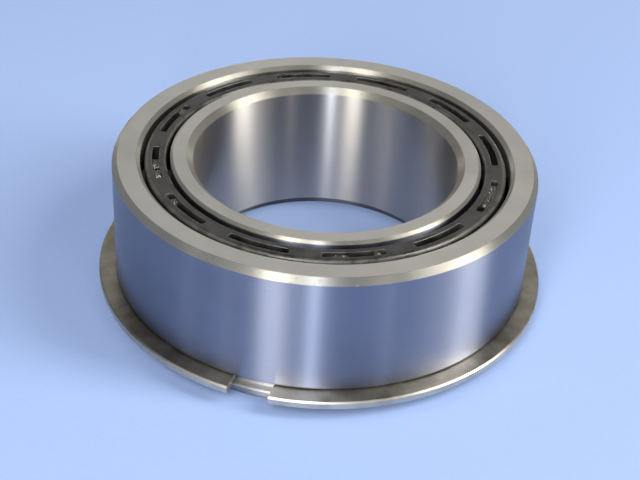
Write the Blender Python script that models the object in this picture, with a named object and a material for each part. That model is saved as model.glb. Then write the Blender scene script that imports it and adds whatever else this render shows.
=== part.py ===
"""Single-row cylindrical roller bearing, 50 x 80 x 28 mm, with a snap ring on its outer ring.

The bearing axis is Z. The origin is on that axis, in the plane of the end faces that the
bearing stands on. The outer ring has a rib at each end. The inner ring has one at the top, and
its raceway runs out to the bottom end.
"""

import math

import bmesh
import bpy
from mathutils import Matrix

MM = 0.001

# Boundary dimensions: bore, outside diameter and width.
BORE_R = 25.0 * MM
OUTSIDE_R = 40.0 * MM
WIDTH = 28.0 * MM

# Raceways, and the ribs that keep the rollers between them.
INNER_RACE_R = 27.5 * MM
OUTER_RACE_R = 36.5 * MM
INNER_RIB_R = 29.2 * MM
OUTER_RIB_R = 34.8 * MM
RIB_WIDTH = 4.2 * MM

# Corner chamfers. The housing and shaft corners are the large ones.
OUTSIDE_CHAMFER_R = 0.9 * MM
OUTSIDE_CHAMFER_Z = 1.15 * MM
BORE_CHAMFER = 1.1 * MM
BORE_CHAMFER_BOTTOM_Z = 1.6 * MM
OUTER_RIB_CHAMFER = 0.65 * MM
INNER_RIB_CHAMFER = 0.45 * MM
LEAD_IN_R = 0.3 * MM
LEAD_IN_Z = 0.8 * MM

# Rollers: they run with a small clearance between the raceways and between the ribs.
ROLLER_COUNT = 12
FIRST_ROLLER_ANGLE = math.radians(10.4)
RUNNING_GAP = 0.07 * MM
ROLLER_END_GAP = 0.1 * MM
ROLLER_CORNER = 0.5 * MM
ROLLER_R = (OUTER_RACE_R - INNER_RACE_R) / 2 - RUNNING_GAP
ROLLER_LENGTH = WIDTH - 2 * (RIB_WIDTH + ROLLER_END_GAP)
PITCH_R = (OUTER_RACE_R + INNER_RACE_R) / 2

# Cage: one ring with a pocket and a pair of end slots at each roller.
CAGE_INNER_R = 29.9 * MM
CAGE_OUTER_R = 34.0 * MM
CAGE_END_GAP = 0.5 * MM
CAGE_EDGE = 0.4 * MM
POCKET_CLEARANCE = 0.15 * MM
SLOT_INNER_R = 31.3 * MM
SLOT_OUTER_R = 32.6 * MM
SLOT_ANGLE = math.radians(20.0)
SLOT_STEPS = 4
SLOT_OVERRUN = 0.5 * MM

# Snap ring, and its groove in the outer ring.
GROOVE_LAND = 2.4 * MM
GROOVE_WIDTH = 1.9 * MM
GROOVE_R = 38.405 * MM
SNAP_INNER_R = 38.55 * MM
SNAP_OUTER_R = 43.3 * MM
SNAP_THICKNESS = 1.7 * MM
SNAP_EDGE = 0.3 * MM
SNAP_GAP = 6.2 * MM
SNAP_GAP_ANGLE = math.radians(255.6)

RING_STEPS = 72
ROLLER_STEPS = 24
SMOOTH_ANGLE = math.radians(30.0)


def clear_scene():
    for obj in list(bpy.data.objects):
        bpy.data.objects.remove(obj, do_unlink=True)


def make_material(name, colour, roughness, metallic):
    material = bpy.data.materials.new(name)
    material.use_nodes = True
    shader = material.node_tree.nodes["Principled BSDF"]
    shader.inputs["Base Color"].default_value = (*colour, 1.0)
    shader.inputs["Roughness"].default_value = roughness
    shader.inputs["Metallic"].default_value = metallic
    return material


def ground_ring_steel():
    return make_material("ground_ring_steel", (0.60, 0.58, 0.55), 0.28, 1.0)


def roller_steel():
    return make_material("roller_steel", (0.66, 0.65, 0.63), 0.15, 1.0)


def spring_steel():
    return make_material("spring_steel", (0.30, 0.27, 0.22), 0.38, 1.0)


def cage_polyamide():
    return make_material("cage_polyamide", (0.022, 0.022, 0.024), 0.42, 0.0)


def add_object(name, bm, material=None, parent=None):
    """Makes an object from bm, which is freed, shaded smooth except at real corners."""
    bmesh.ops.recalc_face_normals(bm, faces=bm.faces)
    mesh = bpy.data.meshes.new(name)
    bm.to_mesh(mesh)
    bm.free()
    mesh.shade_smooth()
    mesh.set_sharp_from_angle(angle=SMOOTH_ANGLE)
    if material:
        mesh.materials.append(material)
    return link_object(name, mesh, parent)


def link_object(name, mesh, parent=None):
    obj = bpy.data.objects.new(name, mesh)
    bpy.context.scene.collection.objects.link(obj)
    obj.parent = parent
    return obj


def turned(profile, steps=RING_STEPS):
    """A closed outline of (radius, height) points, turned once round Z."""
    bm = bmesh.new()
    points = [bm.verts.new((radius, 0.0, height)) for radius, height in profile]
    edges = [bm.edges.new((a, b)) for a, b in zip(points, points[1:] + points[:1])]
    bmesh.ops.spin(
        bm,
        geom=points + edges,
        cent=(0.0, 0.0, 0.0),
        axis=(0.0, 0.0, 1.0),
        angle=math.tau,
        steps=steps,
        use_merge=True,
    )
    return bm


def roller_angles():
    return [FIRST_ROLLER_ANGLE + i * math.tau / ROLLER_COUNT for i in range(ROLLER_COUNT)]


def cut_with(obj, cutter):
    """Subtracts the cutter from obj, and leaves it out of renders."""
    cutter.hide_render = True
    cutter.display_type = "WIRE"
    cut = obj.modifiers.new(cutter.name, "BOOLEAN")
    cut.operation = "DIFFERENCE"
    cut.object = cutter


def make_outer_ring(steel):
    groove_top = GROOVE_LAND + GROOVE_WIDTH
    profile = [
        (OUTER_RIB_R + OUTER_RIB_CHAMFER, 0.0),
        (OUTSIDE_R - OUTSIDE_CHAMFER_R, 0.0),
        (OUTSIDE_R, OUTSIDE_CHAMFER_Z),
        (OUTSIDE_R, GROOVE_LAND),
        (GROOVE_R, GROOVE_LAND),
        (GROOVE_R, groove_top),
        (OUTSIDE_R, groove_top),
        (OUTSIDE_R, WIDTH - OUTSIDE_CHAMFER_Z),
        (OUTSIDE_R - OUTSIDE_CHAMFER_R, WIDTH),
        (OUTER_RIB_R + OUTER_RIB_CHAMFER, WIDTH),
        (OUTER_RIB_R, WIDTH - OUTER_RIB_CHAMFER),
        (OUTER_RIB_R, WIDTH - RIB_WIDTH),
        (OUTER_RACE_R, WIDTH - RIB_WIDTH),
        (OUTER_RACE_R, RIB_WIDTH),
        (OUTER_RIB_R, RIB_WIDTH),
        (OUTER_RIB_R, OUTER_RIB_CHAMFER),
    ]
    return add_object("outer_ring", turned(profile), steel)


def make_inner_ring(steel):
    profile = [
        (BORE_R + BORE_CHAMFER, 0.0),
        (INNER_RACE_R - LEAD_IN_R, 0.0),
        (INNER_RACE_R, LEAD_IN_Z),
        (INNER_RACE_R, WIDTH - RIB_WIDTH),
        (INNER_RIB_R, WIDTH - RIB_WIDTH),
        (INNER_RIB_R, WIDTH - INNER_RIB_CHAMFER),
        (INNER_RIB_R - INNER_RIB_CHAMFER, WIDTH),
        (BORE_R + BORE_CHAMFER, WIDTH),
        (BORE_R, WIDTH - BORE_CHAMFER),
        (BORE_R, BORE_CHAMFER_BOTTOM_Z),
    ]
    return add_object("inner_ring", turned(profile), steel)


def make_snap_ring(steel):
    """A flat ring with one gap, whose ends are parallel to each other."""
    bottom = GROOVE_LAND + (GROOVE_WIDTH - SNAP_THICKNESS) / 2
    top = bottom + SNAP_THICKNESS
    profile = [
        (SNAP_INNER_R, bottom),
        (SNAP_OUTER_R - SNAP_EDGE, bottom),
        (SNAP_OUTER_R, bottom + SNAP_EDGE),
        (SNAP_OUTER_R, top - SNAP_EDGE),
        (SNAP_OUTER_R - SNAP_EDGE, top),
        (SNAP_INNER_R, top),
    ]
    ring = add_object("snap_ring", turned(profile), steel)
    cut_with(ring, make_snap_gap_cutter((bottom + top) / 2))
    return ring


def make_snap_gap_cutter(height):
    """A block across the ring's section at the gap."""
    radial = 2 * (SNAP_OUTER_R - SNAP_INNER_R)
    middle_r = (SNAP_OUTER_R + SNAP_INNER_R) / 2
    turn = Matrix.Rotation(SNAP_GAP_ANGLE, 4, "Z")
    shift = Matrix.Translation((middle_r, 0.0, height))
    size = Matrix.Diagonal((radial, SNAP_GAP, 2 * SNAP_THICKNESS, 1.0))
    bm = bmesh.new()
    bmesh.ops.create_cube(bm, size=1.0, matrix=turn @ shift @ size)
    return add_object("snap_gap_cutter", bm)


def make_cage(plastic):
    """A thick ring, cut by a round pocket for each roller and by slots in both end faces."""
    low = CAGE_END_GAP
    high = WIDTH - CAGE_END_GAP
    profile = [
        (CAGE_INNER_R + CAGE_EDGE, low),
        (CAGE_OUTER_R - CAGE_EDGE, low),
        (CAGE_OUTER_R, low + CAGE_EDGE),
        (CAGE_OUTER_R, high - CAGE_EDGE),
        (CAGE_OUTER_R - CAGE_EDGE, high),
        (CAGE_INNER_R + CAGE_EDGE, high),
        (CAGE_INNER_R, high - CAGE_EDGE),
        (CAGE_INNER_R, low + CAGE_EDGE),
    ]
    cage = add_object("cage", turned(profile), plastic)
    cut_with(cage, make_pocket_cutter())
    cut_with(cage, make_slot_cutter())
    return cage


def make_pocket_cutter():
    """One cylinder for each roller, a clearance larger than the roller all round."""
    radius = ROLLER_R + POCKET_CLEARANCE
    depth = ROLLER_LENGTH + 2 * POCKET_CLEARANCE
    bm = bmesh.new()
    for angle in roller_angles():
        shift = Matrix.Translation((PITCH_R, 0.0, WIDTH / 2))
        bmesh.ops.create_cone(
            bm,
            cap_ends=True,
            segments=ROLLER_STEPS,
            radius1=radius,
            radius2=radius,
            depth=depth,
            matrix=Matrix.Rotation(angle, 4, "Z") @ shift,
        )
    return add_object("pocket_cutter", bm)


def make_slot_cutter():
    """A curved block for each slot, from outside the cage's end face into the pocket."""
    side_ring_end = RIB_WIDTH + ROLLER_END_GAP - POCKET_CLEARANCE + SLOT_OVERRUN
    spans = [(-SLOT_OVERRUN, side_ring_end), (WIDTH - side_ring_end, WIDTH + SLOT_OVERRUN)]
    bm = bmesh.new()
    for middle in roller_angles():
        for low, high in spans:
            add_slot_block(bm, middle - SLOT_ANGLE / 2, low, high)
    return add_object("slot_cutter", bm)


def add_slot_block(bm, start, low, high):
    """A block between the slot's two radii, swept round Z from the start angle."""
    across = math.cos(start), math.sin(start)
    section = [(SLOT_INNER_R, low), (SLOT_OUTER_R, low), (SLOT_OUTER_R, high), (SLOT_INNER_R, high)]
    corners = [bm.verts.new((r * across[0], r * across[1], z)) for r, z in section]
    face = bm.faces.new(corners)
    bmesh.ops.spin(
        bm,
        geom=[face],
        cent=(0.0, 0.0, 0.0),
        axis=(0.0, 0.0, 1.0),
        angle=SLOT_ANGLE,
        steps=SLOT_STEPS,
    )


def roller_mesh(steel):
    """A cylinder on Z with its end corners taken off, centred on its own origin."""
    bm = bmesh.new()
    bmesh.ops.create_cone(
        bm,
        cap_ends=True,
        segments=ROLLER_STEPS,
        radius1=ROLLER_R,
        radius2=ROLLER_R,
        depth=ROLLER_LENGTH,
    )
    rims = [edge for edge in bm.edges if abs(edge.verts[0].co.z - edge.verts[1].co.z) < ROLLER_CORNER]
    bmesh.ops.bevel(bm, geom=rims, offset=ROLLER_CORNER, segments=1, profile=0.5, affect="EDGES")
    bmesh.ops.recalc_face_normals(bm, faces=bm.faces)
    mesh = bpy.data.meshes.new("roller")
    bm.to_mesh(mesh)
    bm.free()
    mesh.shade_smooth()
    mesh.set_sharp_from_angle(angle=SMOOTH_ANGLE)
    mesh.materials.append(steel)
    return mesh


def make_rollers(steel, cage):
    """Each roller stands on its own axis, on the pitch circle, half way up the bearing."""
    mesh = roller_mesh(steel)
    for i, angle in enumerate(roller_angles(), start=1):
        roller = link_object(f"roller_{i:02d}", mesh, parent=cage)
        roller.location = (PITCH_R * math.cos(angle), PITCH_R * math.sin(angle), WIDTH / 2)


def main():
    clear_scene()
    ring_steel = ground_ring_steel()
    make_outer_ring(ring_steel)
    make_inner_ring(ring_steel)
    make_snap_ring(spring_steel())
    cage = make_cage(cage_polyamide())
    make_rollers(roller_steel(), cage)


main()
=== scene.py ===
"""Looks of a cylindrical roller bearing with a snap ring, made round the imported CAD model.

The rings follow the outlines of their CAD nodes, with their corners rounded. The cage and the
rollers take their sizes from theirs. Lengths are in metres, in the frame of the CAD model: the
bearing axis is Z, and the floor is at Z = 0.
"""

import math

import bmesh
import bpy
from mathutils import Matrix, Vector, noise


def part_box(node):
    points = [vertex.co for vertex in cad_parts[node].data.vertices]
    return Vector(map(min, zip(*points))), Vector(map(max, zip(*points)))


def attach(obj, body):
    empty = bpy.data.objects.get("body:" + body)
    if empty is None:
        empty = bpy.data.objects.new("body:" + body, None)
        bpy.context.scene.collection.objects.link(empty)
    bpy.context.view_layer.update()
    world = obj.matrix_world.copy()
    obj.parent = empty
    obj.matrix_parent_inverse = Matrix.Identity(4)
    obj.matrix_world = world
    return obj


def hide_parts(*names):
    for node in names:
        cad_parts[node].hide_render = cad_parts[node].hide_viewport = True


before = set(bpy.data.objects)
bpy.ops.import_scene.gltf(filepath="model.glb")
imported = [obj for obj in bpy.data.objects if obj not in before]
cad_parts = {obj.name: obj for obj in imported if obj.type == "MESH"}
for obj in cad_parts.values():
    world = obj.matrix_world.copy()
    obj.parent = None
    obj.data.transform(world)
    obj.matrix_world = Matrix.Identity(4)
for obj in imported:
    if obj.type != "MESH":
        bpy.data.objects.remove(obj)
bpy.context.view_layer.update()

MM = 0.001
AXIS_TOLERANCE = 0.002 * MM

# Fine meshes: steps round a piece and round a corner, and the radius of each kind of corner.
RING_STEPS = 360
SNAP_RING_STEPS = 352
ROLLER_STEPS = 96
POCKET_STEPS = 64
ARC_STEPS = 5
EDGE_RADIUS = 0.32 * MM
INNER_CORNER_RADIUS = 0.14 * MM
SNAP_RING_CORNER_RADIUS = 0.12 * MM
ROLLER_CORNER = 0.5 * MM

# A point this far beyond each arc keeps the flats flat. On a short side, an arc and its margin
# take up no more than these shares.
FLAT_MARGIN = 0.05 * MM
ARC_SHARE = 0.4
MARGIN_SHARE = 0.2

# A corner whose turn has a smaller sine than this is no corner.
STRAIGHT_SINE = 0.01

# How much of a face's normal is upright: less than this on a round face, more on a flat one.
ROUND_FACE = 0.1
FLAT_FACE = 0.99

# Edges that turn further than this stay sharp, or are bevelled at the slots. Degrees.
SNAP_RING_SHARP = 50.0
CAGE_SHARP = 40.0
SLOT_SHARP = 45.0

# Cage slots: they lie over the rollers, on the pitch circle.
SLOT_INNER_R = 31.3 * MM
SLOT_OUTER_R = 32.6 * MM
SLOT_DEGREES = 20
SLOT_DEPTH = 4.2 * MM
SLOT_CORNER = 0.35 * MM
SLOT_CORNER_STEPS = 4
SLOT_EDGE = 0.13 * MM
SLOT_EDGE_STEPS = 3

# The rest of the cage. Nearer its middle than the shade's reach below, it is painted darker:
# painted shade in its slots and pockets.
POCKET_CLEARANCE = 0.15 * MM
CAGE_SHADE_WITHIN = 12.1 * MM
CAGE_SHADE_FADE = 0.9 * MM
CAGE_INNER_ROUNDING = 0.7 * MM
CAGE_OUTER_ROUNDING = 0.9 * MM

# Grease left in some slots: first and last angle in degrees, and how far below the face it lies.
GREASE_RUNS = (
    (186.0, 191.0, 0.55 * MM),
    (193.5, 199.0, 0.30 * MM),
    (336.5, 350.0, 0.28 * MM),
    (271.5, 280.0, 0.60 * MM),
    (286.5, 289.6, 0.35 * MM),
    (108.0, 109.8, 0.30 * MM),
    (151.5, 154.5, 0.30 * MM),
    (45.0, 48.5, 0.60 * MM),
    (62.0, 66.0, 0.70 * MM),
    (211.5, 215.0, 0.55 * MM),
)

# The lumps in them, the finer lumps on those, and the mesh that carries both. A run sinks by
# GREASE_DEPTH at its ends, and is GREASE_THICKNESS times that thick.
GREASE_DEPTH = 0.9 * MM
GREASE_THICKNESS = 1.6
GREASE_LUMP = 0.34 * MM
GREASE_HEIGHT = 0.34 * MM
GREASE_FINER = 2.3
GREASE_FINER_SHARE = 0.5
GREASE_STEP = 0.2
GREASE_FEWEST_COLUMNS = 6
GREASE_ROWS = 10

# Marks on the steel: how far apart the lines are that grinding and turning leave.
GRINDING_PITCH = 0.3 * MM
FACE_GRINDING_PITCH = 0.25 * MM
SPRING_LINE_PITCH = 0.35 * MM

# The snap ring's oxide is rubbed off outside this radius, over this width; that band is also
# painted lighter as a highlight along the outer edge.
SNAP_RING_RUBBED_R = 43.2 * MM
SNAP_RING_RUBBED_WIDTH = 0.25 * MM

# How fine each pattern is, in cycles per metre.
OIL_FILM_SCALE = 90.0
NICK_SCALE = 2600.0
OXIDE_SCALE = 160.0
PLASTIC_GRAIN_SCALE = 5200.0
PLASTIC_CLOUD_SCALE = 300.0
GREASE_LUMP_SCALE = 2600.0
ROLLER_END_CLOUD_SCALE = 420.0
PAPER_GRAIN_SCALE = 900.0

# The noise levels between which the oil film goes from thin to thick.
OIL_FILM = (0.35, 0.70)

# Reflections are drawn out across the marks, which run round the axis.
ROUND_MARKS_ROTATION = 0.25

# Linear colours. Pairs are the two ends of a pattern.
# The outward round faces' steel is darkened and tinted blue: a painted reflection of the blue
# floor.
ROUND_STEEL_PAINTED_REFLECTION = (0.262, 0.28, 0.355)
BORE_STEEL = (0.50, 0.48, 0.47)
FLAT_STEEL = (0.66, 0.645, 0.605)
EDGE_STEEL = (0.40, 0.385, 0.345)
# The lower edges, which face the floor, are painted near black as shade.
LOWER_EDGE_PAINTED_SHADE = (0.14, 0.145, 0.16)
ROLLER_STEEL = (0.66, 0.65, 0.63)
# Roller ends and their corners are painted near black as shade inside the cage pockets.
ROLLER_END_SHADE = ((0.016, 0.015, 0.014), (0.040, 0.037, 0.033))
OXIDE = ((0.23, 0.21, 0.165), (0.40, 0.37, 0.31))
RUBBED_OXIDE_AND_HIGHLIGHT = (0.52, 0.50, 0.45)
POLYAMIDE = ((0.007, 0.0065, 0.0065), (0.028, 0.026, 0.025))
WORN_SHEEN_POLYAMIDE = (0.080, 0.076, 0.072)
POLYAMIDE_PAINTED_SHADE = (0.003, 0.003, 0.003)
GREASE = ((0.020, 0.018, 0.016), (0.085, 0.078, 0.068))
FLOOR_PAPER = ((0.285, 0.385, 0.655), (0.295, 0.395, 0.67))

# Camera: where it stands, how far it looks down and leans, and its lens on a 36 mm sensor.
CAMERA_PLACE = (0.0, -0.21573, 0.15893)
CAMERA_PITCH = 0.6103
CAMERA_YAW = -0.0009
CAMERA_ROLL = -0.0596
CAMERA_LENS = 75.26
CAMERA_SENSOR = 36.0
CAMERA_NEAREST = 0.01

FLOOR_RADIUS = 3.0
FLOOR_STEPS = 96

WORLD_COLOUR = (0.92, 0.95, 1.0, 1.0)
WORLD_STRENGTH = 0.17
WARM = (1.0, 0.97, 0.88)
COOL = (0.88, 0.93, 1.0)
PANEL = (1.0, 0.97, 0.92)

# Softboxes: azimuth (0 is +X, 90 is +Y) and elevation in degrees, distance from the point that
# they face, size, radiance and colour. Those in front make the photo's bright bands. The back
# panel lights the end faces, and the three low ones behind light the outer wall there.
LIGHTS_FACE_HEIGHT = 0.014
SOFTBOXES = (
    ("far_left_window", 204.0, 31.0, 1.0, (0.035, 1.1), 4.0, WARM),
    ("left_lamp", 226.0, 31.0, 1.0, (0.035, 1.1), 4.0, WARM),
    ("left_window", 248.5, 31.0, 1.0, (0.21, 1.1), 13.0, WARM),
    ("middle_window", 268.5, 31.0, 1.0, (0.05, 1.1), 34.0, COOL),
    ("right_lamp", 304.0, 31.0, 1.0, (0.035, 1.1), 6.0, WARM),
    ("right_window", 349.0, 31.0, 1.0, (0.30, 1.1), 14.5, WARM),
    ("back_panel", 93.0, 40.0, 1.4, (1.8, 0.9), 0.41, PANEL),
    ("back_left_window", 120.0, 9.0, 1.1, (0.08, 0.30), 6.0, WARM),
    ("back_middle_window", 94.0, 9.0, 1.1, (0.03, 0.30), 7.0, COOL),
    ("back_right_window", 66.0, 9.0, 1.1, (0.13, 0.30), 5.0, WARM),
)


# ---------------------------------------------------------------- outlines and meshes


def sides(points):
    """(here, after) for each point of a closed outline."""
    return zip(points, points[1:] + points[:1])


def with_neighbours(points):
    """(before, here, after) for each point of a closed outline."""
    return zip(points[-1:] + points, points, points[1:] + points[:1])


def outline_of(node):
    """The (radius, height) corners of a ring's CAD node, read in the half-plane at +X.

    They are in order, counter-clockwise.
    """
    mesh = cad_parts[node].data
    places = {}
    for vertex in mesh.vertices:
        x, y, z = vertex.co
        if abs(y) < AXIS_TOLERANCE and x > 0:
            places[vertex.index] = (round(x, 6), round(z, 6))
    beside = {}
    for edge in mesh.edges:
        a, b = (places.get(i) for i in edge.vertices)
        if a and b and a != b:
            beside.setdefault(a, set()).add(b)
            beside.setdefault(b, set()).add(a)
    start = min(beside)
    walk = [start, sorted(beside[start])[0]]
    while True:
        onward = [p for p in beside[walk[-1]] if p != walk[-2]]
        if onward[0] == start:
            break
        walk.append(onward[0])
    return counter_clockwise(without_straight_points(walk))


def without_straight_points(points):
    kept = []
    for before, here, after in with_neighbours(points):
        first = Vector(here) - Vector(before)
        second = Vector(after) - Vector(here)
        if abs(first.normalized().cross(second.normalized())) > STRAIGHT_SINE:
            kept.append(here)
    return kept


def counter_clockwise(points):
    area = sum(a[0] * b[1] - b[0] * a[1] for a, b in sides(points))
    return points if area > 0 else points[::-1]


def ring_radii(corners):
    """Outward corners are worn rounder than the corners of the groove and the raceways."""
    radii = []
    for before, here, after in with_neighbours(corners):
        turn = (Vector(here) - Vector(before)).cross(Vector(after) - Vector(here))
        radii.append(EDGE_RADIUS if turn > 0 else INNER_CORNER_RADIUS)
    return radii


def rounded(corners, radii):
    """The outline with an arc at each corner, and a point beyond each end of each arc."""
    points = []
    for (before, here, after), radius in zip(with_neighbours(corners), radii):
        here = Vector(here)
        to_before = Vector(before) - here
        to_after = Vector(after) - here
        room = ARC_SHARE * min(to_before.length, to_after.length)
        u, v = to_before.normalized(), to_after.normalized()
        half = u.angle(v) / 2
        reach = min(radius / math.tan(half), room)
        centre = here + (u + v).normalized() * reach / math.cos(half)
        margin = min(FLAT_MARGIN, room * MARGIN_SHARE)
        points.append(here + u * (reach + margin))
        start, end = here + u * reach - centre, here + v * reach - centre
        sweep = start.angle_signed(end)
        for step in range(ARC_STEPS + 1):
            turn = Matrix.Rotation(-sweep * step / ARC_STEPS, 2)
            points.append(centre + turn @ start)
        points.append(here + v * (reach + margin))
    return points


def quads_between(here, there, count):
    """The faces between two copies of a closed outline, whose first points are given."""
    onward = [(k, (k + 1) % count) for k in range(count)]
    return [(here + k, there + k, there + after, here + after) for k, after in onward]


def turned(name, points, first_angle=0.0):
    """A closed outline turned once round Z. Its faces point out of a counter-clockwise outline."""
    count = len(points)
    verts = []
    for i in range(RING_STEPS):
        angle = first_angle + math.tau * i / RING_STEPS
        verts += [(r * math.cos(angle), r * math.sin(angle), z) for r, z in points]
    faces = []
    for i in range(RING_STEPS):
        faces += quads_between(i * count, (i + 1) % RING_STEPS * count, count)
    return mesh_object(name, verts, faces)


def mesh_object(name, verts, faces):
    mesh = bpy.data.meshes.new(name)
    mesh.from_pydata(verts, [], faces)
    mesh.validate()
    mesh.shade_smooth()
    obj = bpy.data.objects.new(name, mesh)
    bpy.context.scene.collection.objects.link(obj)
    return obj


def material_by_slope(obj, slope_materials):
    """Gives each face one of five materials: outside, bore, flat, upper edge or lower edge. The
    outside holds a painted reflection, the lower edge a painted shade.
    """
    for material in slope_materials:
        obj.data.materials.append(material)
    for face in obj.data.polygons:
        slope = abs(face.normal.z)
        inward = face.normal.xy.dot(face.center.xy) < 0
        if slope < ROUND_FACE:
            face.material_index = 1 if inward else 0
        elif slope > FLAT_FACE:
            face.material_index = 2
        else:
            face.material_index = 3 if face.normal.z > 0 else 4


def widest_gap(node):
    """(middle angle, width) of the gap in a split CAD ring, measured at its outer edge."""
    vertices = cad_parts[node].data.vertices
    outer = max(v.co.xy.length for v in vertices)
    rim = [v.co for v in vertices if v.co.xy.length > outer - AXIS_TOLERANCE]
    angles = sorted({round(math.atan2(co.y, co.x) % math.tau, 6) for co in rim})
    jumps = [(b - a, a) for a, b in zip(angles, angles[1:] + [angles[0] + math.tau])]
    jump, start = max(jumps)
    return start + jump / 2, 2 * outer * math.sin(jump / 2)


# ---------------------------------------------------------------- materials


class Shader:
    """Builds one material. A socket takes a plain value or another socket."""

    def __init__(self, name):
        self.material = bpy.data.materials.new(name)
        self.material.use_nodes = True
        self.tree = self.material.node_tree
        self.principled = self.tree.nodes["Principled BSDF"]

    def put(self, socket, value):
        if isinstance(value, bpy.types.NodeSocket):
            self.tree.links.new(value, socket)
        else:
            socket.default_value = value

    def surface(self, **inputs):
        for name, value in inputs.items():
            self.put(self.principled.inputs[name.replace("_", " ")], value)

    def math(self, operation, *values):
        node = self.tree.nodes.new("ShaderNodeMath")
        node.operation = operation
        for socket, value in zip(node.inputs, values):
            self.put(socket, value)
        return node.outputs[0]

    def place(self):
        """Object coordinates, which turn with the piece."""
        return self.tree.nodes.new("ShaderNodeTexCoord").outputs["Object"]

    def split(self, vector):
        node = self.tree.nodes.new("ShaderNodeSeparateXYZ")
        self.put(node.inputs[0], vector)
        return node.outputs

    def joined(self, *parts):
        node = self.tree.nodes.new("ShaderNodeCombineXYZ")
        for socket, value in zip(node.inputs, parts):
            self.put(socket, value)
        return node.outputs[0]

    def scaled(self, vector, factors):
        node = self.tree.nodes.new("ShaderNodeVectorMath")
        node.operation = "MULTIPLY"
        self.put(node.inputs[0], vector)
        self.put(node.inputs[1], factors)
        return node.outputs[0]

    def noise(self, vector, scale, detail=2.0, roughness=0.5, w=None):
        node = self.tree.nodes.new("ShaderNodeTexNoise")
        node.noise_dimensions = "3D" if w is None else "4D"
        self.put(node.inputs["Vector"], vector)
        if w is not None:
            self.put(node.inputs["W"], w)
        self.put(node.inputs["Scale"], scale)
        self.put(node.inputs["Detail"], detail)
        self.put(node.inputs["Roughness"], roughness)
        return node.outputs["Fac"]

    def between(self, value, low, high, to_low=0.0, to_high=1.0):
        """value mapped from low..high to to_low..to_high, and held there outside."""
        node = self.tree.nodes.new("ShaderNodeMapRange")
        for socket, number in zip(node.inputs, (value, low, high, to_low, to_high)):
            self.put(socket, number)
        return node.outputs[0]

    def mixed(self, share, first, second):
        node = self.tree.nodes.new("ShaderNodeMix")
        node.data_type = "RGBA"
        colours = [socket for socket in node.inputs if socket.type == "RGBA"]
        self.put(node.inputs[0], share)
        for socket, value in zip(colours, (first, second)):
            self.put(socket, (*value, 1.0) if isinstance(value, tuple) else value)
        return next(socket for socket in node.outputs if socket.type == "RGBA")

    def bump(self, height, distance, strength=1.0, under=None):
        node = self.tree.nodes.new("ShaderNodeBump")
        self.put(node.inputs["Strength"], strength)
        self.put(node.inputs["Distance"], distance)
        self.put(node.inputs["Height"], height)
        if under is not None:
            self.put(node.inputs["Normal"], under)
        return node.outputs[0]

    def axis_distance(self, x, y):
        squares = [self.math("MULTIPLY", side, side) for side in (x, y)]
        return self.math("SQRT", self.math("ADD", *squares))

    def turned_lines(self, pitch, wander=1.5):
        """Noise in lines round Z, one about every pitch, on round and on flat faces alike."""
        x, y, z = self.split(self.place())
        radius = self.axis_distance(x, y)
        across = self.joined(
            self.math("MULTIPLY", self.math("DIVIDE", x, radius), wander),
            self.math("MULTIPLY", self.math("DIVIDE", y, radius), wander),
            self.math("DIVIDE", radius, pitch),
        )
        return self.noise(across, 1.0, 3.0, 0.6, w=self.math("DIVIDE", z, pitch))

    def scratches(self, length, width, turn, share):
        """Hairlines in one direction, only here and there: over about this share."""
        node = self.tree.nodes.new("ShaderNodeMapping")
        self.put(node.inputs["Vector"], self.place())
        node.inputs["Rotation"].default_value = (0.0, 0.0, turn)
        stretched = self.scaled(node.outputs[0], (1 / length, 1 / width, 1 / length))
        lines = self.between(self.noise(stretched, 1.0, 1.0), 0.70, 0.74)
        patches = self.noise(node.outputs[0], 1 / (4 * length), 1.0)
        return self.math("MULTIPLY", lines, self.between(patches, 1 - share, 1.02 - share))

    def round_marks(self):
        """Draws reflections out across marks that run round Z."""
        node = self.tree.nodes.new("ShaderNodeTangent")
        node.direction_type = "RADIAL"
        node.axis = "Z"
        self.put(self.principled.inputs["Tangent"], node.outputs[0])
        self.principled.inputs["Anisotropic Rotation"].default_value = ROUND_MARKS_ROTATION


def steel_shade(s, colour, hairs):
    """Steel's colour under a faint oil film with a few hairlines; the film; the hairlines."""
    film = s.noise(s.place(), OIL_FILM_SCALE, 3.0)
    dark = tuple(0.86 * c for c in colour)
    shade = s.mixed(s.between(film, *OIL_FILM), colour, dark)
    long_hairs = s.scratches(2.5 * MM, 0.09 * MM, 0.4, 0.42)
    short_hairs = s.scratches(1.8 * MM, 0.08 * MM, 2.0, 0.40)
    hair = s.math("MAXIMUM", long_hairs, short_hairs)
    bright = tuple(min(1.0, 1.18 * c) for c in colour)
    return s.mixed(s.math("MULTIPLY", hair, hairs), shade, bright), film, hair


def ground_steel(name, colour, roughness, anisotropy, hairs, metallic=1.0, nicks=0.0):
    """Steel ground on its flat faces and edges: fine lines round the axis, and tiny nicks, their
    dents painted darker as shade.
    """
    s = Shader(name)
    shade, film, hair = steel_shade(s, colour, hairs)
    rough = s.between(film, *OIL_FILM, roughness, roughness + 0.04)
    lines = s.turned_lines(FACE_GRINDING_PITCH)
    normal = s.bump(hair, -0.001 * MM, strength=hairs, under=s.bump(lines, 0.002 * MM))
    if nicks:
        dents = s.between(s.noise(s.place(), NICK_SCALE, 0.0), 0.74, 0.82)
        normal = s.bump(dents, -0.03 * MM, strength=nicks, under=normal)
        # Painted shade: the dents of the nicks are darkened in colour.
        shade = s.mixed(s.math("MULTIPLY", dents, nicks), shade, tuple(0.6 * c for c in colour))
    s.surface(Base_Color=shade, Metallic=metallic, Roughness=rough, Normal=normal)
    s.surface(Anisotropic=anisotropy)
    s.round_marks()
    return s.material


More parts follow.
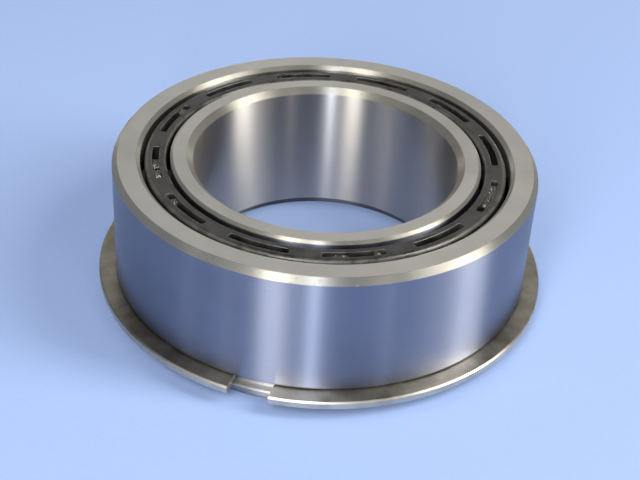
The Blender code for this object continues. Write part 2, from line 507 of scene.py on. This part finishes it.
def cylinder_ground_steel(name, colour, roughness, hairs=0.3):
    """Steel ground on its round faces, which draws reflections out along the axis."""
    s = Shader(name)
    shade, film, _ = steel_shade(s, colour, hairs)
    height = s.split(s.place())[2]
    lines = s.noise(s.joined(0.0, 0.0, s.math("DIVIDE", height, GRINDING_PITCH)), 1.0, 3.0, 0.6)
    tone = s.mixed(s.between(lines, 0.35, 0.65), shade, tuple(0.90 * c for c in colour))
    rough = s.between(film, *OIL_FILM, roughness, roughness + 0.03)
    normal = s.bump(lines, 0.002 * MM)
    s.surface(Base_Color=tone, Metallic=1.0, Roughness=rough, Normal=normal, Anisotropic=1.0)
    s.round_marks()
    return s.material


def spring_steel():
    """Tempered steel strip: brownish oxide, rubbed off along its outer edge, with a painted
    highlight there.
    """
    s = Shader("spring_steel_fine")
    lines = s.turned_lines(SPRING_LINE_PITCH, wander=3.0)
    cloud = s.noise(s.place(), OXIDE_SCALE, 4.0, 0.6)
    shade = s.mixed(s.between(cloud, 0.35, 0.65), *OXIDE)
    radius = s.axis_distance(*s.split(s.place())[:2])
    # The pale band along the outer edge is rubbed oxide and a painted highlight.
    edge = s.between(radius, SNAP_RING_RUBBED_R - SNAP_RING_RUBBED_WIDTH, SNAP_RING_RUBBED_R)
    rubbed_and_highlight = s.math("MULTIPLY", edge, s.between(cloud, 0.3, 0.6, 0.5, 1.0))
    shade = s.mixed(rubbed_and_highlight, shade, RUBBED_OXIDE_AND_HIGHLIGHT)
    rough = s.between(cloud, 0.3, 0.7, 0.30, 0.42)
    normal = s.bump(cloud, 0.004 * MM, under=s.bump(lines, 0.002 * MM))
    s.surface(Base_Color=shade, Metallic=1.0, Roughness=rough, Normal=normal, Anisotropic=0.5)
    s.round_marks()
    return s.material


def moulded_plastic():
    """Near-black filled polyamide: fine grain, a skin of oil, paler along its rounded edges from
    rubbing wear and a painted sheen.

    Away from its two end faces it is painted black as shade, and matt.
    """
    s = Shader("polyamide_fine")
    grain = s.noise(s.place(), PLASTIC_GRAIN_SCALE, 2.0)
    cloud = s.noise(s.place(), PLASTIC_CLOUD_SCALE, 4.0, 0.65)
    shade = s.mixed(s.between(cloud, 0.38, 0.66), *POLYAMIDE)
    geometry = s.tree.nodes.new("ShaderNodeNewGeometry")
    slope = s.math("ABSOLUTE", s.split(geometry.outputs["Normal"])[2])
    # The rounded rims are paler: rubbing wear, and a painted sheen where they catch the light.
    rim = s.math("MULTIPLY", s.between(slope, 0.98, 0.80), s.between(slope, 0.10, 0.40))
    wear_and_sheen = s.math("MULTIPLY", rim, s.between(cloud, 0.35, 0.60, 0.35, 1.0))
    shade = s.mixed(wear_and_sheen, shade, WORN_SHEEN_POLYAMIDE)
    # Painted shade: away from the end faces, down the slots and pockets, the colour goes near
    # black.
    middle_z = sum(corner.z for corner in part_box("cage")) / 2
    from_middle = s.math("ABSOLUTE", s.math("SUBTRACT", s.split(s.place())[2], middle_z))
    outside = s.between(from_middle, CAGE_SHADE_WITHIN, CAGE_SHADE_WITHIN + CAGE_SHADE_FADE)
    shade = s.mixed(outside, POLYAMIDE_PAINTED_SHADE, shade)
    oily = s.between(cloud, 0.35, 0.65, 0.24, 0.50)
    rough = s.math("MAXIMUM", oily, s.between(outside, 0.0, 1.0, 0.8, 0.0))
    normal = s.bump(cloud, 0.07 * MM, under=s.bump(grain, 0.004 * MM))
    s.surface(Base_Color=shade, Roughness=rough, Normal=normal)
    s.surface(Coat_Weight=0.25, Coat_Roughness=0.24)
    return s.material


def grease_film():
    """Thick dark grease, wet and lumpy."""
    s = Shader("grease_fine")
    lumps = s.noise(s.place(), GREASE_LUMP_SCALE, 3.0, 0.6)
    shade = s.mixed(s.between(lumps, 0.35, 0.7), *GREASE)
    s.surface(Base_Color=shade, Roughness=0.17, Normal=s.bump(lumps, 0.10 * MM))
    s.surface(Coat_Weight=0.7, Coat_Roughness=0.07)
    return s.material


def roller_end_shade():
    """Roller ends and corners, painted near black as shade, with a cloudy tone."""
    s = Shader("roller_end_fine")
    cloud = s.noise(s.place(), ROLLER_END_CLOUD_SCALE, 3.0)
    # Painted shade: the ends' colour is near black.
    shade = s.mixed(s.between(cloud, 0.35, 0.65), *ROLLER_END_SHADE)
    rough = s.between(cloud, 0.3, 0.7, 0.30, 0.50)
    s.surface(Base_Color=shade, Roughness=rough, Normal=s.bump(cloud, 0.02 * MM), Coat_Weight=0.2)
    return s.material


# ---------------------------------------------------------------- pieces


def make_ring(node, slope_materials):
    corners = outline_of(node)
    ring = turned(f"{node}_fine", rounded(corners, ring_radii(corners)))
    material_by_slope(ring, slope_materials)
    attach(ring, node)
    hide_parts(node)


def make_snap_ring(material):
    """The split ring: every point of the outline is swept from one flat end to the other."""
    corners = outline_of("snap_ring")
    points = rounded(corners, [SNAP_RING_CORNER_RADIUS] * len(corners))
    middle, width = widest_gap("snap_ring")
    verts = []
    for i in range(SNAP_RING_STEPS + 1):
        for r, z in points:
            half = math.asin(width / 2 / r)
            angle = middle + half + (math.tau - 2 * half) * i / SNAP_RING_STEPS
            verts.append((r * math.cos(angle), r * math.sin(angle), z))
    count = len(points)
    faces = []
    for i in range(SNAP_RING_STEPS):
        faces += quads_between(i * count, (i + 1) * count, count)
    faces.append(tuple(range(count)))
    faces.append(tuple(SNAP_RING_STEPS * count + k for k in reversed(range(count))))
    ring = mesh_object("snap_ring_fine", verts, faces)
    ring.data.set_sharp_from_angle(angle=math.radians(SNAP_RING_SHARP))
    ring.data.materials.append(material)
    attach(ring, "snap_ring")
    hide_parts("snap_ring")


def roller_profile(radius, length):
    """Half outline from one end's middle to the other's, with round corners."""
    half = length / 2
    corner = ROLLER_CORNER
    points = [(0.0, -half), (radius * 0.5, -half), (radius - corner - FLAT_MARGIN, -half)]
    for end, first in ((-1, -90.0), (1, 0.0)):
        for step in range(2 * ARC_STEPS + 1):
            angle = math.radians(first + 90.0 * step / (2 * ARC_STEPS))
            reach = radius - corner + corner * math.cos(angle)
            points.append((reach, end * (half - corner) + corner * math.sin(angle)))
        if end < 0:
            points += [(radius, -half + 2 * corner), (radius, 0.0), (radius, half - 2 * corner)]
    points += [(radius - corner - FLAT_MARGIN, half), (radius * 0.5, half), (0.0, half)]
    return points


def roller_mesh(radius, length, side_material, end_material):
    """One mesh for all rollers, with the end material on the ends and their corners."""
    profile = roller_profile(radius, length)
    ring = profile[1:-1]
    count = len(ring)
    verts = [(0.0, 0.0, profile[0][1]), (0.0, 0.0, profile[-1][1])]
    for i in range(ROLLER_STEPS):
        angle = math.tau * i / ROLLER_STEPS
        verts += [(r * math.cos(angle), r * math.sin(angle), z) for r, z in ring]
    faces = []
    for i in range(ROLLER_STEPS):
        here, there = 2 + i * count, 2 + (i + 1) % ROLLER_STEPS * count
        faces.append((0, there, here))
        faces.append((1, here + count - 1, there + count - 1))
        for k in range(count - 1):
            faces.append((here + k, there + k, there + k + 1, here + k + 1))
    template = mesh_object("roller_fine", verts, faces)
    mesh = template.data
    bpy.data.objects.remove(template)
    mesh.materials.append(side_material)
    mesh.materials.append(end_material)
    for face in mesh.polygons:
        face.material_index = 1 if abs(face.normal.z) > ROUND_FACE else 0
    return mesh


def roller_nodes():
    return sorted(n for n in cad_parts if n.startswith("roller_"))


def make_rollers(side_material, end_material):
    nodes = roller_nodes()
    low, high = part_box(nodes[0])
    mesh = roller_mesh((high.x - low.x) / 2, high.z - low.z, side_material, end_material)
    for node in nodes:
        low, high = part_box(node)
        roller = bpy.data.objects.new(f"{node}_fine", mesh)
        bpy.context.scene.collection.objects.link(roller)
        roller.location = (low + high) / 2
        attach(roller, node)
        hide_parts(node)


def roller_centres():
    return [(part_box(n)[0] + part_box(n)[1]) / 2 for n in roller_nodes()]


def slot_faces(bm, count, start_of_row):
    """The faces of each slot's mouth, slot by slot."""
    bm.faces.ensure_lookup_table()
    per_pitch = RING_STEPS // len(roller_nodes())
    columns = SLOT_DEGREES * RING_STEPS // 360
    groups = []
    for first in range(0, RING_STEPS, per_pitch):
        groups.append([bm.faces[(first + c) * count + start_of_row] for c in range(columns)])
    return groups


def make_cage(material):
    """A rounded ring with a slot sunk over each roller at both ends, then the roller pockets."""
    points = with_slot_bands(cage_outline())
    centres = roller_centres()
    first = math.atan2(centres[0].y, centres[0].x) - math.radians(SLOT_DEGREES / 2)
    cage = turned("cage_fine", points, first_angle=first)
    bm = bmesh.new()
    bm.from_mesh(cage.data)
    rows = [k for k, side in enumerate(sides(points)) if is_slot_band(*side)]
    groups = [group for row in rows for group in slot_faces(bm, len(points), row)]
    for group in groups:
        sink_slot(bm, group)
    soften_slots(bm)
    bm.to_mesh(cage.data)
    bm.free()
    cage.data.shade_smooth()
    cage.data.set_sharp_from_angle(angle=math.radians(CAGE_SHARP))
    cage.data.materials.append(material)
    cut_pockets(cage, centres)
    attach(cage, "cage")
    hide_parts("cage")


def cage_outline():
    """The moulded cage's section: the CAD's height and width, with arcs in place of its bevels."""
    corners = outline_of("cage")
    inner, outer = min(r for r, z in corners), max(r for r, z in corners)
    low, high = min(z for r, z in corners), max(z for r, z in corners)
    square = [(inner, low), (outer, low), (outer, high), (inner, high)]
    inside, outside = CAGE_INNER_ROUNDING, CAGE_OUTER_ROUNDING
    return rounded(square, [inside, outside, outside, inside])


def with_slot_bands(points):
    """Adds a point at each edge of the slots' band, where the outline crosses it."""
    made = []
    for a, b in sides(points):
        made.append(tuple(a))
        near, far = min(a[0], b[0]), max(a[0], b[0])
        crossed = [r for r in (SLOT_INNER_R, SLOT_OUTER_R) if near < r < far]
        for r in sorted(crossed, reverse=b[0] < a[0]):
            share = (r - a[0]) / (b[0] - a[0])
            made.append((r, a[1] + share * (b[1] - a[1])))
    return made


def is_slot_band(a, b):
    return {round(a[0], 7), round(b[0], 7)} == {round(SLOT_INNER_R, 7), round(SLOT_OUTER_R, 7)}


def sink_slot(bm, faces):
    inward = -1.0 if faces[0].normal.z > 0 else 1.0
    made = bmesh.ops.extrude_face_region(bm, geom=faces)
    floor = [item for item in made["geom"] if isinstance(item, bmesh.types.BMVert)]
    bmesh.ops.translate(bm, verts=floor, vec=(0.0, 0.0, inward * SLOT_DEPTH))
    stale = [face for face in faces if face.is_valid]
    bmesh.ops.delete(bm, geom=stale, context="FACES_ONLY")


def soften_slots(bm):
    """Rounds the slots' upright corners, then their mouths."""
    upright = [e for e in bm.edges if is_upright(e) and is_sharp(e)]
    round_off(bm, upright, SLOT_CORNER, SLOT_CORNER_STEPS)
    low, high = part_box("cage")
    mouth = [e for e in bm.edges if is_sharp(e) and all(at_end(v, low.z, high.z) for v in e.verts)]
    round_off(bm, mouth, SLOT_EDGE, SLOT_EDGE_STEPS)


def round_off(bm, edges, radius, steps):
    bmesh.ops.bevel(bm, geom=edges, offset=radius, segments=steps, profile=0.5, affect="EDGES")


def is_upright(edge):
    a, b = (v.co for v in edge.verts)
    return (a - b).xy.length < AXIS_TOLERANCE and abs(a.z - b.z) > SLOT_DEPTH / 2


def is_sharp(edge):
    return len(edge.link_faces) == 2 and edge.calc_face_angle() > math.radians(SLOT_SHARP)


def at_end(vertex, low, high):
    return min(abs(vertex.co.z - low), abs(vertex.co.z - high)) < AXIS_TOLERANCE


def make_grease(material):
    """Lumpy runs of grease in the cage's slots. Each is a closed slab that sinks at both ends."""
    top_of_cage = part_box("cage")[1].z
    verts, faces = [], []
    for first, last, drop in GREASE_RUNS:
        columns = max(GREASE_FEWEST_COLUMNS, round((last - first) / GREASE_STEP))
        ends = math.radians(first), math.radians(last)
        add_grease_run(verts, faces, *ends, columns, top_of_cage - drop)
    grease = mesh_object("cage_grease", verts, faces)
    grease.data.materials.append(material)
    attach(grease, "cage")


def grease_lift(spot):
    """How far the lumps raise the grease at this spot, or lower it."""
    fine = noise.noise(spot * GREASE_FINER / GREASE_LUMP)
    lump = 0.5 + noise.noise(spot / GREASE_LUMP) + GREASE_FINER_SHARE * fine
    return GREASE_HEIGHT * (max(0.0, min(1.0, lump)) - 0.5)


def add_grease_run(verts, faces, first, last, columns, top):
    """Adds one run between two angles: its lumpy top, its flat underside and its border."""
    base = len(verts)
    underside = top - GREASE_THICKNESS * GREASE_DEPTH
    width = GREASE_ROWS + 1
    for layer in (1, 0):
        for i in range(columns + 1):
            share = i / columns
            angle = first + (last - first) * share
            swell = math.sin(math.pi * share) ** 0.5
            for j in range(width):
                r = SLOT_INNER_R + (SLOT_OUTER_R - SLOT_INNER_R) * j / GREASE_ROWS
                spot = Vector((r * math.cos(angle), r * math.sin(angle), top))
                lumpy = top + grease_lift(spot) - GREASE_DEPTH * (1 - swell)
                verts.append((spot.x, spot.y, lumpy if layer else underside))
    lower = (columns + 1) * width
    for i in range(columns):
        for j in range(GREASE_ROWS):
            here = base + i * width + j
            there = here + width
            faces.append((here, here + 1, there + 1, there))
            faces.append((lower + there, lower + there + 1, lower + here + 1, lower + here))
    border = [i * width for i in range(columns)]
    border += [columns * width + j for j in range(GREASE_ROWS)]
    border += [i * width + GREASE_ROWS for i in range(columns, 0, -1)]
    border += range(GREASE_ROWS, 0, -1)
    for a, b in sides(border):
        faces.append((base + a, base + b, lower + base + b, lower + base + a))


def cut_pockets(cage, centres):
    """Cuts a hole right through the cage for each roller, with a little room round it."""
    low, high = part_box("roller_01")
    radius = (high.x - low.x) / 2 + POCKET_CLEARANCE
    bm = bmesh.new()
    for centre in centres:
        bmesh.ops.create_cone(
            bm,
            cap_ends=True,
            segments=POCKET_STEPS,
            radius1=radius,
            radius2=radius,
            depth=high.z - low.z + 2 * POCKET_CLEARANCE,
            matrix=Matrix.Translation(centre),
        )
    mesh = bpy.data.meshes.new("pocket_cutter")
    bm.to_mesh(mesh)
    bm.free()
    cutter = bpy.data.objects.new("pocket_cutter", mesh)
    bpy.context.scene.collection.objects.link(cutter)
    cut = cage.modifiers.new("pockets", "BOOLEAN")
    cut.operation = "DIFFERENCE"
    cut.object = cutter
    graph = bpy.context.evaluated_depsgraph_get()
    made = bpy.data.meshes.new_from_object(cage.evaluated_get(graph))
    cage.modifiers.clear()
    cage.data = made
    bpy.data.objects.remove(cutter)


# ---------------------------------------------------------------- floor, lights and camera


def make_floor():
    bm = bmesh.new()
    bmesh.ops.create_circle(bm, cap_ends=True, radius=FLOOR_RADIUS, segments=FLOOR_STEPS)
    mesh = bpy.data.meshes.new("floor")
    bm.to_mesh(mesh)
    bm.free()
    floor = bpy.data.objects.new("floor", mesh)
    bpy.context.scene.collection.objects.link(floor)
    s = Shader("floor_paper")
    grain = s.noise(s.place(), PAPER_GRAIN_SCALE, 3.0)
    shade = s.mixed(s.between(grain, 0.3, 0.7), *FLOOR_PAPER)
    s.surface(Base_Color=shade, Roughness=0.85, Specular_IOR_Level=0.2)
    floor.data.materials.append(s.material)


def make_softbox(name, azimuth, elevation, distance, size, radiance, colour):
    """A rectangular area light that faces the bearing."""
    light = bpy.data.lights.new(name, "AREA")
    light.shape = "RECTANGLE"
    light.size, light.size_y = size
    light.energy = radiance * size[0] * size[1] * math.pi
    light.color = colour
    obj = bpy.data.objects.new(name, light)
    a, e = math.radians(azimuth), math.radians(elevation)
    towards = Vector((math.cos(a) * math.cos(e), math.sin(a) * math.cos(e), math.sin(e)))
    obj.location = towards * distance + Vector((0.0, 0.0, LIGHTS_FACE_HEIGHT))
    obj.rotation_euler = towards.to_track_quat("Z", "Y").to_euler()
    bpy.context.scene.collection.objects.link(obj)


def make_lights():
    world = bpy.data.worlds.new("studio")
    world.use_nodes = True
    background = world.node_tree.nodes["Background"]
    background.inputs["Color"].default_value = WORLD_COLOUR
    background.inputs["Strength"].default_value = WORLD_STRENGTH
    bpy.context.scene.world = world
    bpy.context.scene.view_settings.view_transform = "Standard"
    for softbox in SOFTBOXES:
        make_softbox(*softbox)


def make_camera():
    camera = bpy.data.cameras.new("camera")
    camera.lens = CAMERA_LENS
    camera.sensor_width = CAMERA_SENSOR
    camera.clip_start = CAMERA_NEAREST
    obj = bpy.data.objects.new("camera", camera)
    bpy.context.scene.collection.objects.link(obj)
    sy, cy = math.sin(CAMERA_YAW), math.cos(CAMERA_YAW)
    sp, cp = math.sin(CAMERA_PITCH), math.cos(CAMERA_PITCH)
    forward = Vector((sy * cp, cy * cp, -sp))
    level_right = Vector((cy, -sy, 0.0))
    level_down = forward.cross(level_right)
    sr, cr = math.sin(CAMERA_ROLL), math.cos(CAMERA_ROLL)
    right = cr * level_right + sr * level_down
    down = cr * level_down - sr * level_right
    turn = Matrix((right, -down, -forward)).transposed().to_4x4()
    obj.matrix_world = Matrix.Translation(CAMERA_PLACE) @ turn
    bpy.context.scene.camera = obj


def make_bearing():
    slope_materials = (
        # Painted reflection: the outward round faces get dark, blue-tinted steel.
        cylinder_ground_steel("round_steel", ROUND_STEEL_PAINTED_REFLECTION, 0.30),
        cylinder_ground_steel("bore_steel", BORE_STEEL, 0.31, hairs=0.15),
        ground_steel("flat_steel", FLAT_STEEL, 0.42, 0.3, hairs=0.35),
        ground_steel("edge_steel", EDGE_STEEL, 0.45, 1.0, hairs=0.0, metallic=0.85, nicks=0.5),
        # Painted shade: the downward edges get near-black steel.
        ground_steel("lower_edge_painted_shade", LOWER_EDGE_PAINTED_SHADE, 0.45, 1.0, hairs=0.0),
    )
    make_ring("outer_ring", slope_materials)
    make_ring("inner_ring", slope_materials)
    make_snap_ring(spring_steel())
    make_cage(moulded_plastic())
    make_grease(grease_film())
    roller_side = ground_steel("roller_steel_fine", ROLLER_STEEL, 0.18, 0.5, hairs=0.0)
    make_rollers(roller_side, roller_end_shade())


make_camera()
make_floor()
make_lights()
make_bearing()
